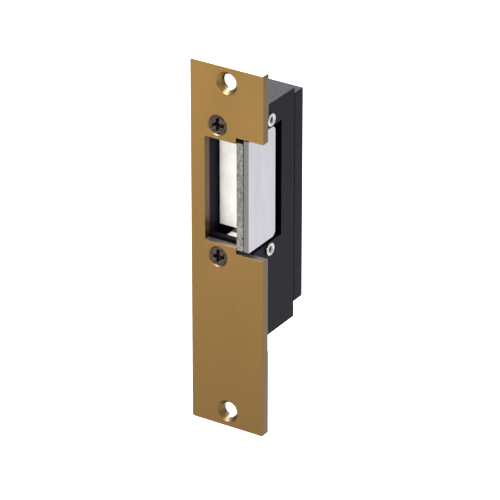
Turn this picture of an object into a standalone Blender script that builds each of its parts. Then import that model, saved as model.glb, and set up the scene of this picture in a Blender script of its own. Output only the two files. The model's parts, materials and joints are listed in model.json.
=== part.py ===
"""Electric door strike: faceplate, housing, swinging keeper, locking lever and solenoid.

Metres, +Z up. The origin is the centre of the faceplate's back plane. The door's side is -Y, the
body is let into the jamb along +Y, and the keeper swings out past the faceplate's +X edge.
"""
import math

import bmesh
import bpy
from mathutils import Matrix, Vector

MM = 0.001
GAP = 0.3                      # clearance left between pieces that touch, in millimetres

# Driving sizes in millimetres.
PLATE_W = 31.75                # faceplate width
PLATE_H = 149.2                # faceplate height
PLATE_T = 3.6                  # faceplate thickness
PLATE_CORNER_R = 0.8
MOUNT_Z = 68.25                # mounting holes above and below the centre
MOUNT_R = 3.1                  # mounting hole radius
MOUNT_SINK_R = 4.6             # its countersink's radius at the front
MID_Z = 23.4                   # height of the latch opening's centre
OPEN_LEFT = -9.75              # left edge of the latch opening
OPEN_HALF = 21.4               # half its height
NOTCH_LEFT = 3.9               # left edge of the keeper's notch
NOTCH_HALF = 23.9              # half its height
PLATE_SCREW_X = -4.2
PLATE_SCREW_OFF = 27.0         # plate screws above and below MID_Z
SCREW_HEAD_R = 4.0
SCREW_SHANK_R = 2.0
SCREW_TIP_Y = 9.4              # rear end of the plate screws
SCREW_SUNK = 0.25              # plate screw heads below the plate's front

BODY_X = (-12.7, 9.5)
BODY_Z = (-38.7, 56.9)
BODY_DEPTH = 28.1
WALL = 1.6
FRONT_WALL = 2.4
POCKET_HALF = 20.2             # half height of the pocket in the housing's front wall
WINDOW_OFF = (23.4, 23.8)      # keeper's window in the side wall, below and above MID_Z
WINDOW_DEPTH = 19.1
CORNER_CUT = 5.6               # chamfer along the body's top left edge
SEAT_DEPTH = 0.3               # shallow seat in the plate's back that locates the housing
COVER_Y = (28.4, 34.0)
COVER_Z = (-32.4, 54.6)
COVER_CAVITY_Z = (-24.0, 46.6)
COVER_SCREW_Z = (-28.2, 50.6)
COVER_HOLE_R = 1.8
COVER_HEAD_R = 2.8
COVER_HEAD_DEPTH = 2.4         # counterbore for the cover screw's head
COVER_SHANK_R = 1.3
BOSS_R = 3.2                   # bosses in the housing for the cover screws
BOSS_LENGTH = 9.0
BOSS_HOLE_R = 1.6
BOSS_HOLE_DEPTH = 7.5
RIB_Y = (12.6, 14.0)           # rib inside the housing, which the keeper spring's leg rests on
RIB_Z = (24.0, 30.0)
RIB_REACH = 2.0

# Depth, reach from the middle and width of the screws' cross recesses.
PLATE_RECESS = (1.6, 2.5, 1.1)
COVER_RECESS = (1.0, 1.7, 0.7)
SOLENOID_RECESS = (0.8, 1.6, 0.6)
FACE_RECESS = (0.6, 1.3, 0.5)

KEEPER_X = (4.2, 7.1)          # inner casting of the jaw
FACE_X = (7.4, 9.5)            # outer face plate of the jaw
FACE_Z = (1.4, 46.8)
JAW_HALF = 22.0                # half height of the jaw
JAW_BACK = 14.8                # rear end of the jaw
BACK_WALL_Y = (8.8, 11.4)      # wall at the back of the pocket
BACK_WALL_LEFT = -10.8
BACK_WALL_HALF = 19.9
WEAR_Y = (7.8, 8.5)            # bright plate on the front of that wall
WEAR_HALF = 19.6
PIVOT_X = 3.6                  # keeper's hinge line
PIVOT_Y = 12.4
BARREL_R = 2.7
PIN_R = 1.5
PIN_HOLE_R = 1.8
JAW_EDGE_R = 0.7
FACE_CORNER_R = 2.2
HEEL_Z = (8.0, 23.4)
HEEL_REACH = 8.6
HEEL_HALF = 1.3

BLOCK_X = (-8.0, 7.6)
BLOCK_Y = (2.7, 16.4)
BLOCK_OFF = (23.7, 29.4)       # block, measured outwards from MID_Z
PAD_OFF = 20.5
PAD_X = (-4.1, 3.6)
PAD_BACK = 6.0
SLOT_BACK = 8.7
SLOT_OFF = 24.4
RIVET_SPOTS = {1: (11.2, 27.0), -1: (10.6, 26.0)}    # Y and distance from MID_Z, upper and lower
RIVET_R = 2.6
RIVET_HOLE_R = 1.9
RIVET_SHANK_R = 1.6
RIVET_BORE_R = 1.05
RIVET_X = 5.7                  # inner end of the rivet's hole in the block

COIL_X = -1.6                  # solenoid axis
COIL_Y = 9.4
LEVER_Y = 17.4                 # lever pin
LEVER_Z = -9.5
LEVER_SWING = 12.0             # degrees from released to locked
LEVER_HUB_R = 2.6
LEVER_HUB_X = (-5.6, 2.2)
ARM_X = (-0.4, 2.0)            # upper arm that stands beside the keeper's heel
ARM_BACK = 2.6
TIP_Y = (18.4, 21.4)
TIP_Z = (6.9, 14.0)
PRONG_X = ((-5.4, -3.8), (0.6, 2.2))
PRONG_T = 1.6
FRAME_X = (-10.8, 7.6)         # solenoid frame
FRAME_T = 1.6
FRAME_Y = (4.2, 14.6)
FRAME_Z = (-36.2, -16.4)
EAR_Y = (12.0, 20.2)
EAR_TOP = -6.7
FRAME_SCREW_Z = (-31.5, -21.0)
FRAME_SCREW_R = 1.1
FRAME_SCREW_HEAD_R = 2.6
SPACER_R = 2.4
CORE_TAIL_R = 2.0
TUBE_R = 4.0                   # outer radius of the bobbin's tube
FLANGE_T = 0.9
BOBBIN_R = 6.4
PLUNGER_R = 3.0
PLUNGER_BOTTOM = -25.6
PLUNGER_TOP = -6.5
SHOULDER_R = 4.6
SHOULDER_Z = (-12.6, -11.1)
NECK_R = 1.5
NECK_TOP = -7.9
TOP_DISC_R = 3.3
CORE_TOP = -27.6

KEEPER_SPRING_Z = (21.5, 27.5)
KEEPER_SPRING_R = 2.4
KEEPER_SPRING_TURNS = 4.75
SPRING_WIRE_R = 0.35
SPRING_ROOM = 0.6              # slot in the barrel beyond each end of the spring
SPRING_ROOM_R = 3.05
PLUNGER_SPRING_TURNS = 2.5
FACE_SCREW_Y = 3.4
FACE_SCREW_OFF = 15.0
FACE_SCREW_HOLE_R = 1.3

TERMINAL_X = (-4.6, 1.4)
TERMINAL_Z = 36.0
TERMINAL_HALF = 4.6
TERMINAL_WINDOW_X = (-7.5, 4.3)
TERMINAL_WINDOW_HALF = 4.9
TERMINAL_BLOCK_X = (-9.4, 6.2)
TERMINAL_BLOCK_Y = 26.5
LEAD_R = 0.5

MATERIALS = {
    "brass_plate": ((0.42, 0.26, 0.09), 0.38, 0.9),
    "black_body": ((0.022, 0.021, 0.030), 0.45, 0.2),
    "black_screw": ((0.015, 0.013, 0.013), 0.30, 0.6),
    "keeper_steel": ((0.62, 0.60, 0.56), 0.42, 0.9),
    "polished_steel": ((0.72, 0.71, 0.76), 0.28, 0.9),
    "bright_plate": ((0.86, 0.85, 0.79), 0.30, 0.5),
    "zinc": ((0.60, 0.60, 0.58), 0.42, 0.8),
    "rivet_steel": ((0.70, 0.70, 0.70), 0.25, 0.9),
    "spring_steel": ((0.35, 0.35, 0.36), 0.35, 0.9),
    "frame_steel": ((0.48, 0.48, 0.46), 0.40, 0.9),
    "bobbin_nylon": ((0.75, 0.72, 0.62), 0.50, 0.0),
    "copper": ((0.60, 0.22, 0.08), 0.35, 0.9),
    "terminal_plastic": ((0.03, 0.03, 0.03), 0.50, 0.0),
    "terminal_brass": ((0.62, 0.45, 0.18), 0.30, 0.9),
    "lead_insulation": ((0.35, 0.02, 0.02), 0.50, 0.0),
}


def clear_scene():
    for obj in list(bpy.data.objects):
        bpy.data.objects.remove(obj, do_unlink=True)


def new_collection(name):
    group = bpy.data.collections.new(name)
    bpy.context.scene.collection.children.link(group)
    return group


def material(name):
    found = bpy.data.materials.get(name)
    if found:
        return found
    colour, roughness, metallic = MATERIALS[name]
    made = bpy.data.materials.new(name)
    made.use_nodes = True
    shader = made.node_tree.nodes["Principled BSDF"]
    shader.inputs["Base Color"].default_value = (*colour, 1.0)
    shader.inputs["Roughness"].default_value = roughness
    shader.inputs["Metallic"].default_value = metallic
    made.diffuse_color = (*colour, 1.0)
    return made


def put(name, mesh_builder, group, slot=None):
    """Turn a finished bmesh, in millimetres, into an object of the given collection."""
    bmesh.ops.scale(mesh_builder, vec=(MM, MM, MM), verts=mesh_builder.verts)
    bmesh.ops.recalc_face_normals(mesh_builder, faces=mesh_builder.faces)
    mesh = bpy.data.meshes.new(name)
    mesh_builder.to_mesh(mesh)
    mesh_builder.free()
    obj = bpy.data.objects.new(name, mesh)
    group.objects.link(obj)
    if slot:
        mesh.materials.append(material(slot))
        mesh.shade_smooth()
        mesh.set_sharp_from_angle(angle=math.radians(35))
    return obj


def box_mesh(low, high):
    built = bmesh.new()
    bmesh.ops.create_cube(built, size=1.0)
    size = Vector(high) - Vector(low)
    middle = (Vector(high) + Vector(low)) / 2
    bmesh.ops.scale(built, vec=size, verts=built.verts)
    bmesh.ops.translate(built, vec=middle, verts=built.verts)
    return built


def round_edges(built, axis, radius, segments, keep):
    """Round the edges that run along one axis and whose middle passes the keep test."""
    edges = []
    for edge in built.edges:
        along = (edge.verts[1].co - edge.verts[0].co).normalized()
        middle = (edge.verts[1].co + edge.verts[0].co) / 2
        if abs(along[axis]) > 0.99 and keep(middle):
            edges.append(edge)
    bmesh.ops.bevel(built, geom=edges, offset=radius, segments=segments, profile=0.5, affect="EDGES")
    return built


def cone_mesh(axis, centre, radii, span, segments=32):
    """Cylinder or cone along X, Y or Z; radii and span run from the low end to the high end."""
    built = bmesh.new()
    length = span[1] - span[0]
    bmesh.ops.create_cone(built, cap_ends=True, segments=segments, radius1=radii[0],
                          radius2=radii[1], depth=length)
    turns = {"X": Matrix.Rotation(math.pi / 2, 3, "Y"),
             "Y": Matrix.Rotation(-math.pi / 2, 3, "X"),
             "Z": Matrix.Identity(3)}
    bmesh.ops.rotate(built, matrix=turns[axis], verts=built.verts)
    place = list(centre)
    place.insert("XYZ".index(axis), (span[0] + span[1]) / 2)
    bmesh.ops.translate(built, vec=place, verts=built.verts)
    return built


def rod_mesh(axis, centre, radius, span, segments=32):
    return cone_mesh(axis, centre, (radius, radius), span, segments)


class Maker:
    """Makes the parts, and keeps the solids that cut or join them in a second collection."""

    def __init__(self):
        self.parts = new_collection("electric_door_strike")
        self.cutters = new_collection("cutters")
        self.count = 0

    def part(self, name, built, slot):
        return put(name, built, self.parts, slot)

    def combine(self, obj, built, operation):
        self.count += 1
        tool = put(f"{obj.name}_tool_{self.count}", built, self.cutters)
        tool.hide_render = True
        tool.display_type = "WIRE"
        step = obj.modifiers.new(tool.name, "BOOLEAN")
        step.operation = operation
        step.solver = "EXACT"
        step.object = tool
        return obj

    def cut(self, obj, *tools):
        for built in tools:
            self.combine(obj, built, "DIFFERENCE")
        return obj

    def join(self, obj, *tools):
        for built in tools:
            self.combine(obj, built, "UNION")
        return obj


def mirror_z(offset, side):
    """Height at a distance outwards from the middle of the opening; side is 1 up or -1 down."""
    return MID_Z + side * offset


def span_z(low_off, high_off, side):
    ends = sorted((mirror_z(low_off, side), mirror_z(high_off, side)))
    return ends[0], ends[1]


def rivet_centre(side):
    rivet_y, offset = RIVET_SPOTS[side]
    return rivet_y, mirror_z(offset, side)


def cross_recess(axis, centre, face, sizes, outward):
    """Two crossed bars that cut a screw's driver recess into the face at the given height."""
    depth, reach, width = sizes
    inner, outer = sorted((face - outward * depth, face + outward * 1.0))
    bars = []
    for long_axis in (0, 1):
        half = [width / 2, width / 2]
        half[long_axis] = reach
        low = [centre[0] - half[0], centre[1] - half[1]]
        high = [centre[0] + half[0], centre[1] + half[1]]
        low.insert("XYZ".index(axis), inner)
        high.insert("XYZ".index(axis), outer)
        bars.append(box_mesh(low, high))
    return bars


def make_faceplate(maker):
    half_w = PLATE_W / 2
    half_h = PLATE_H / 2
    built = box_mesh((-half_w, -PLATE_T, -half_h), (half_w, 0, half_h))
    round_edges(built, 1, PLATE_CORNER_R, 4, lambda middle: True)
    plate = maker.part("faceplate", built, "brass_plate")
    maker.cut(plate, box_mesh((-half_w - 1, -SEAT_DEPTH, BODY_Z[0] - 0.5),
                              (half_w + 1, 1, BODY_Z[1] + 0.5)))
    maker.cut(plate, box_mesh((OPEN_LEFT, -PLATE_T - 1, MID_Z - OPEN_HALF),
                              (NOTCH_LEFT + 1, 1, MID_Z + OPEN_HALF)))
    maker.cut(plate, box_mesh((NOTCH_LEFT, -PLATE_T - 1, MID_Z - NOTCH_HALF),
                              (half_w + 1, 1, MID_Z + NOTCH_HALF)))
    for height in (-MOUNT_Z, MOUNT_Z):
        sink(maker, plate, (0, height), MOUNT_R, MOUNT_SINK_R)
    for side in (-1, 1):
        height = mirror_z(PLATE_SCREW_OFF, side)
        sink(maker, plate, (PLATE_SCREW_X, height), SCREW_SHANK_R + GAP, SCREW_HEAD_R + GAP)


def sink(maker, plate, centre, hole_r, head_r):
    """Countersunk hole, 90 degrees, through the faceplate."""
    over = 0.5
    maker.cut(plate, rod_mesh("Y", centre, hole_r, (-PLATE_T - 1, 1)))
    maker.cut(plate, cone_mesh("Y", centre, (head_r + over, hole_r - 0.2),
                               (-PLATE_T - over, -PLATE_T + head_r - hole_r + 0.2)))


def make_plate_screws(maker):
    for name, side in (("upper_faceplate_screw", 1), ("lower_faceplate_screw", -1)):
        centre = (PLATE_SCREW_X, mirror_z(PLATE_SCREW_OFF, side))
        front = -PLATE_T + SCREW_SUNK
        head = cone_mesh("Y", centre, (SCREW_HEAD_R, SCREW_SHANK_R - 0.1),
                         (front, front + SCREW_HEAD_R - SCREW_SHANK_R + 0.1))
        screw = maker.part(name, head, "black_screw")
        maker.join(screw, rod_mesh("Y", centre, SCREW_SHANK_R, (front + 1.5, SCREW_TIP_Y)))
        maker.cut(screw, *cross_recess("Y", centre, front, PLATE_RECESS, -1))


def cut_corner(built, leg):
    """Chamfer the long edge at the block's left and top, at 45 degrees."""
    return round_edges(built, 1, leg, 1, lambda middle: middle.x < 0 and middle.z > MID_Z)


def make_housing(maker):
    low_x, high_x = BODY_X
    low_z, high_z = BODY_Z
    outer = cut_corner(box_mesh((low_x, 0, low_z), (high_x, BODY_DEPTH, high_z)), CORNER_CUT)
    shell = maker.part("housing", outer, "black_body")
    inner = box_mesh((low_x + WALL, FRONT_WALL, low_z + WALL),
                     (high_x - WALL, BODY_DEPTH - WALL, high_z - WALL))
    maker.cut(shell, cut_corner(inner, CORNER_CUT - WALL * (2 - math.sqrt(2))))
    maker.cut(shell, box_mesh((low_x + WALL, BODY_DEPTH - WALL - 1, COVER_CAVITY_Z[0]),
                              (high_x - WALL, BODY_DEPTH + 1, COVER_CAVITY_Z[1])))
    maker.cut(shell, box_mesh((OPEN_LEFT - 0.1, -1, MID_Z - POCKET_HALF),
                              (NOTCH_LEFT + 1, FRONT_WALL + 1, MID_Z + POCKET_HALF)))
    maker.cut(shell, box_mesh((NOTCH_LEFT, -1, MID_Z - WINDOW_OFF[0]),
                              (high_x + 1, WINDOW_DEPTH, MID_Z + WINDOW_OFF[1])))
    for side in (-1, 1):
        screw_z = mirror_z(PLATE_SCREW_OFF, side)
        maker.cut(shell, rod_mesh("Y", (PLATE_SCREW_X, screw_z), SCREW_SHANK_R + GAP,
                                  (-1, FRONT_WALL + 1), 24))
        maker.cut(shell, rod_mesh("X", rivet_centre(side), RIVET_HOLE_R,
                                  (high_x - WALL - 1, high_x + 1), 24))
    for height in COVER_SCREW_Z:
        maker.join(shell, rod_mesh("Y", (COIL_X, height), BOSS_R,
                                   (BODY_DEPTH - BOSS_LENGTH, BODY_DEPTH - 0.5), 24))
        maker.cut(shell, rod_mesh("Y", (COIL_X, height), BOSS_HOLE_R,
                                  (BODY_DEPTH - BOSS_HOLE_DEPTH, BODY_DEPTH + 1), 24))
    maker.join(shell, box_mesh((low_x + 0.5, RIB_Y[0], RIB_Z[0]),
                               (low_x + WALL + RIB_REACH, RIB_Y[1], RIB_Z[1])))
    for height in FRAME_SCREW_Z:
        maker.cut(shell, rod_mesh("X", (COIL_Y, height), 1.5, (low_x - 1, low_x + WALL + 1), 24))
        maker.cut(shell, cone_mesh("X", (COIL_Y, height), (3.3, 1.3), (low_x - 0.5, low_x + 1.5), 24))


def make_rear_cover(maker):
    low_x, high_x = BODY_X
    outer = box_mesh((low_x, COVER_Y[0], COVER_Z[0]), (high_x, COVER_Y[1], COVER_Z[1]))
    leg = CORNER_CUT - (BODY_Z[1] - COVER_Z[1])
    cover = maker.part("rear_cover", cut_corner(outer, leg), "black_body")
    maker.cut(cover, box_mesh((low_x + WALL, COVER_Y[0] - 1, COVER_CAVITY_Z[0]),
                              (high_x - WALL, COVER_Y[1] - WALL, COVER_CAVITY_Z[1])))
    window_low, window_high = TERMINAL_Z - TERMINAL_WINDOW_HALF, TERMINAL_Z + TERMINAL_WINDOW_HALF
    maker.cut(cover, box_mesh((TERMINAL_WINDOW_X[0], COVER_Y[1] - WALL - 1, window_low),
                              (TERMINAL_WINDOW_X[1], COVER_Y[1] + 1, window_high)))
    for height in COVER_SCREW_Z:
        maker.cut(cover, rod_mesh("Y", (COIL_X, height), COVER_HOLE_R, (COVER_Y[0] - 1, COVER_Y[1] + 1), 24))
        maker.cut(cover, rod_mesh("Y", (COIL_X, height), COVER_HEAD_R + GAP,
                                  (COVER_Y[1] - COVER_HEAD_DEPTH, COVER_Y[1] + 1), 24))


def make_cover_screws(maker):
    for name, height in zip(("lower_cover_screw", "upper_cover_screw"), COVER_SCREW_Z):
        centre = (COIL_X, height)
        top = COVER_Y[1] - 0.3
        screw = maker.part(name, rod_mesh("Y", centre, COVER_HEAD_R, (top - 1.8, top), 24),
                           "black_screw")
        maker.join(screw, rod_mesh("Y", centre, COVER_SHANK_R, (BODY_DEPTH - 7.0, top - 1.0), 20))
        maker.cut(screw, *cross_recess("Y", centre, top, COVER_RECESS, 1))


def make_keeper(maker):
    low_z, high_z = MID_Z - JAW_HALF, MID_Z + JAW_HALF
    jaw = box_mesh((KEEPER_X[0], -PLATE_T, low_z), (KEEPER_X[1], PIVOT_Y, high_z))
    round_edges(jaw, 2, JAW_EDGE_R, 3, lambda middle: middle.x > KEEPER_X[0] + 1 and middle.y < 0)
    keeper = maker.part("keeper", jaw, "keeper_steel")
    maker.join(keeper, rod_mesh("Z", (PIVOT_X, PIVOT_Y), BARREL_R, (low_z, high_z), 40))
    maker.join(keeper, box_mesh((BACK_WALL_LEFT, BACK_WALL_Y[0], MID_Z - BACK_WALL_HALF),
                                (KEEPER_X[0] + 1, BACK_WALL_Y[1], MID_Z + BACK_WALL_HALF)))
    maker.join(keeper, box_mesh((PIVOT_X - HEEL_HALF, PIVOT_Y, HEEL_Z[0]),
                                (PIVOT_X + HEEL_HALF, PIVOT_Y + HEEL_REACH, HEEL_Z[1])))
    maker.cut(keeper, rod_mesh("Z", (PIVOT_X, PIVOT_Y), PIN_HOLE_R, (low_z - 1, high_z + 1), 32))
    slot_low, slot_high = KEEPER_SPRING_Z[0] - SPRING_ROOM, KEEPER_SPRING_Z[1] + SPRING_ROOM
    maker.cut(keeper, box_mesh((PIVOT_X - BARREL_R - 1, PIVOT_Y - 0.8, slot_low),
                               (KEEPER_X[1] + 1, PIVOT_Y + 5, slot_high)),
              rod_mesh("Z", (PIVOT_X, PIVOT_Y), SPRING_ROOM_R, (slot_low, slot_high), 32))
    for side in (-1, 1):
        centre = (FACE_SCREW_Y, mirror_z(FACE_SCREW_OFF, side))
        maker.cut(keeper, rod_mesh("X", centre, FACE_SCREW_HOLE_R, (KEEPER_X[0] - 1, KEEPER_X[1] + 1), 24))
        maker.cut(keeper, cone_mesh("X", centre, (3.0, 1.1), (KEEPER_X[0] - 0.5, KEEPER_X[0] + 1.4), 24))


def make_wear_plate(maker):
    """Thin plate on the keeper's back wall, at the back of the latch pocket."""
    maker.part("keeper_wear_plate",
               box_mesh((BACK_WALL_LEFT + 0.2, WEAR_Y[0], MID_Z - WEAR_HALF),
                        (KEEPER_X[0] - GAP, WEAR_Y[1], MID_Z + WEAR_HALF)), "bright_plate")


def make_face_plate(maker):
    face = box_mesh((FACE_X[0], -PLATE_T, FACE_Z[0]), (FACE_X[1], JAW_BACK, FACE_Z[1]))
    round_edges(face, 0, FACE_CORNER_R, 6, lambda middle: middle.y > 0)
    plate = maker.part("keeper_face_plate", face, "polished_steel")
    for side in (-1, 1):
        centre = (FACE_SCREW_Y, mirror_z(FACE_SCREW_OFF, side))
        maker.cut(plate, rod_mesh("X", centre, FACE_SCREW_HOLE_R, (FACE_X[0] - 1, FACE_X[0] + 1.4), 24))


def make_face_screws(maker):
    for name, side in (("upper_keeper_face_screw", 1), ("lower_keeper_face_screw", -1)):
        centre = (FACE_SCREW_Y, mirror_z(FACE_SCREW_OFF, side))
        front = KEEPER_X[0] + 0.1
        head = cone_mesh("X", centre, (2.2, 0.9), (front, front + 1.3), 24)
        screw = maker.part(name, head, "keeper_steel")
        maker.join(screw, rod_mesh("X", centre, 1.0, (front + 0.8, FACE_X[0] + 1.0), 20))
        maker.cut(screw, *cross_recess("X", centre, front, FACE_RECESS, -1))


def make_bearing_blocks(maker):
    for name, side in (("upper_bearing_block", 1), ("lower_bearing_block", -1)):
        low_z, high_z = span_z(*BLOCK_OFF, side)
        body = box_mesh((BLOCK_X[0], BLOCK_Y[0], low_z), (BLOCK_X[1], BLOCK_Y[1], high_z))
        block = maker.part(name, body, "zinc")
        pad_low, pad_high = span_z(PAD_OFF, BLOCK_OFF[0] + 1, side)
        maker.join(block, box_mesh((PAD_X[0], BLOCK_Y[0], pad_low), (PAD_X[1], PAD_BACK, pad_high)))
        slot_low, slot_high = span_z(BLOCK_OFF[0] - 1, SLOT_OFF, side)
        maker.cut(block, box_mesh((PAD_X[0], PAD_BACK, slot_low), (BLOCK_X[1] + 1, SLOT_BACK, slot_high)))
        maker.cut(block, box_mesh((BLOCK_X[0] - 1, BLOCK_Y[0] - 1, slot_low),
                                  (PAD_X[0], SLOT_BACK, slot_high)))
        maker.cut(block, rod_mesh("Z", (PIVOT_X, PIVOT_Y), PIN_HOLE_R, (low_z - 1, high_z + 1), 32))
        screw_z = mirror_z(PLATE_SCREW_OFF, side)
        maker.cut(block, rod_mesh("Y", (PLATE_SCREW_X, screw_z), SCREW_SHANK_R + GAP,
                                  (BLOCK_Y[0] - 1, SCREW_TIP_Y + 0.4), 24))
        maker.cut(block, rod_mesh("X", rivet_centre(side), RIVET_HOLE_R, (RIVET_X, BLOCK_X[1] + 1), 24))


def make_rivets(maker):
    for name, side in (("upper_tubular_rivet", 1), ("lower_tubular_rivet", -1)):
        centre = rivet_centre(side)
        outer = BODY_X[1] + GAP
        head = cone_mesh("X", centre, (RIVET_R, RIVET_R - 0.5), (outer, outer + 0.6), 40)
        rivet = maker.part(name, head, "rivet_steel")
        maker.join(rivet, rod_mesh("X", centre, RIVET_SHANK_R, (RIVET_X + GAP, outer + 0.3), 24))
        maker.cut(rivet, rod_mesh("X", centre, RIVET_BORE_R, (RIVET_X + 1.1, outer + 1.0), 24))


def make_pivot_pin(maker):
    span = (MID_Z - BLOCK_OFF[1] + 0.4, MID_Z + BLOCK_OFF[1] - 0.4)
    maker.part("keeper_pivot_pin", rod_mesh("Z", (PIVOT_X, PIVOT_Y), PIN_R, span, 32), "rivet_steel")


def wire(maker, name, points, radius, slot, resolution=2):
    """Round wire along the given points, in millimetres."""
    curve = bpy.data.curves.new(name, "CURVE")
    curve.dimensions = "3D"
    curve.bevel_depth = radius * MM
    curve.bevel_resolution = resolution
    curve.use_fill_caps = True
    line = curve.splines.new("POLY")
    line.points.add(len(points) - 1)
    for spot, place in zip(line.points, points):
        spot.co = (place[0] * MM, place[1] * MM, place[2] * MM, 1.0)
    curve.materials.append(material(slot))
    obj = bpy.data.objects.new(name, curve)
    maker.parts.objects.link(obj)
    return obj


def helix(centre, radius, start_angle, turns, heights, per_turn=12):
    """Points along a coil about a vertical axis, in millimetres; negative turns run clockwise."""
    steps = round(abs(turns) * per_turn)
    points = []
    for step in range(steps + 1):
        part = step / steps
        angle = start_angle + part * turns * 2 * math.pi
        points.append((centre[0] + radius * math.cos(angle), centre[1] + radius * math.sin(angle),
                       heights[0] + part * (heights[1] - heights[0])))
    return points


def smooth_route(knots, per_span=5):
    """Points along a smooth curve through the knots (Catmull-Rom)."""
    rows = [Vector(knot) for knot in knots]
    rows = [2 * rows[0] - rows[1]] + rows + [2 * rows[-1] - rows[-2]]
    points = []
    for index in range(1, len(rows) - 2):
        before, here, there, after = rows[index - 1:index + 3]
        for step in range(per_span):
            t = step / per_span
            points.append(0.5 * (2 * here + (there - before) * t
                                 + (2 * before - 5 * here + 4 * there - after) * t ** 2
                                 + (3 * here - before - 3 * there + after) * t ** 3))
    points.append(rows[-2])
    return points


def make_keeper_spring(maker):
    """Torsion spring: one leg on the housing's rib, coils round the pin, one leg on the heel."""
    top = KEEPER_SPRING_Z[1] - 0.5
    bottom = KEEPER_SPRING_Z[0] + 0.5
    rear = PIVOT_Y + KEEPER_SPRING_R
    coil = helix((PIVOT_X, PIVOT_Y), KEEPER_SPRING_R, math.pi / 2, -KEEPER_SPRING_TURNS, (top, bottom))
    fixed_leg = [(-9.8, rear, top), (PIVOT_X - 3.0, rear, top)]
    heel_leg = [(PIVOT_X - KEEPER_SPRING_R, PIVOT_Y + 3.0, bottom),
                (PIVOT_X - KEEPER_SPRING_R, PIVOT_Y + 7.6, bottom)]
    return wire(maker, "keeper_spring", fixed_leg + coil + heel_leg, SPRING_WIRE_R, "spring_steel")


def turned(maker, name, centre, profile, slot, segments=32):
    """Turned piece about a vertical axis; the profile runs down its outer side."""
    built = bmesh.new()
    spots = []
    for radius, height in profile:
        spots.append(built.verts.new((radius * MM, 0, height * MM)))
    for first, second in zip(spots, spots[1:]):
        built.edges.new((first, second))
    mesh = bpy.data.meshes.new(name)
    built.to_mesh(mesh)
    built.free()
    mesh.materials.append(material(slot))
    obj = bpy.data.objects.new(name, mesh)
    obj.location = (centre[0] * MM, centre[1] * MM, 0)
    maker.parts.objects.link(obj)
    turn = obj.modifiers.new("turn", "SCREW")
    turn.axis = "Z"
    turn.steps = segments
    turn.render_steps = segments
    turn.use_merge_vertices = True
    turn.merge_threshold = 0.00005
    turn.use_smooth_shade = False
    return obj


def make_lever(maker):
    """Lever that locks the keeper: a fork in the plunger's groove and an arm beside the heel.

    It is drawn released. Its arm is drawn upright, as when locked, and then leans back.
    """
    hub = (LEVER_Y, LEVER_Z)
    lever = maker.part("locking_lever", rod_mesh("X", hub, LEVER_HUB_R, LEVER_HUB_X, 36), "frame_steel")
    lean = Matrix.Rotation(math.radians(-LEVER_SWING), 3, "X")
    arm = box_mesh((ARM_X[0], LEVER_Y + 0.4, LEVER_Z), (ARM_X[1], LEVER_Y + ARM_BACK, TIP_Z[0] + 0.5))
    tip = box_mesh((ARM_X[0], TIP_Y[0], TIP_Z[0]), (ARM_X[1], TIP_Y[1], TIP_Z[1]))
    for built in (arm, tip):
        bmesh.ops.rotate(built, cent=(0, LEVER_Y, LEVER_Z), matrix=lean, verts=built.verts)
        maker.join(lever, built)
    for low_x, high_x in PRONG_X:
        maker.join(lever, box_mesh((low_x, COIL_Y - 2.4, LEVER_Z - PRONG_T / 2),
                                   (high_x, LEVER_Y, LEVER_Z + PRONG_T / 2)))
    maker.cut(lever, rod_mesh("X", hub, PIN_HOLE_R, (LEVER_HUB_X[0] - 1, LEVER_HUB_X[1] + 1), 32))
    return lever


def make_lever_pin(maker):
    hub = (LEVER_Y, LEVER_Z)
    pin = rod_mesh("X", hub, PIN_R, (FRAME_X[0] + 0.1, FRAME_X[1] - 0.1), 28)
    maker.part("lever_pivot_pin", pin, "rivet_steel")
    spans = (("left_lever_spacer", FRAME_X[0] + FRAME_T + GAP, LEVER_HUB_X[0] - GAP),
             ("right_lever_spacer", LEVER_HUB_X[1] + GAP, FRAME_X[1] - FRAME_T - GAP))
    for name, low, high in spans:
        spacer = maker.part(name, rod_mesh("X", hub, SPACER_R, (low, high), 28), "terminal_brass")
        maker.cut(spacer, rod_mesh("X", hub, PIN_HOLE_R, (low - 1, high + 1), 28))


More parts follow.
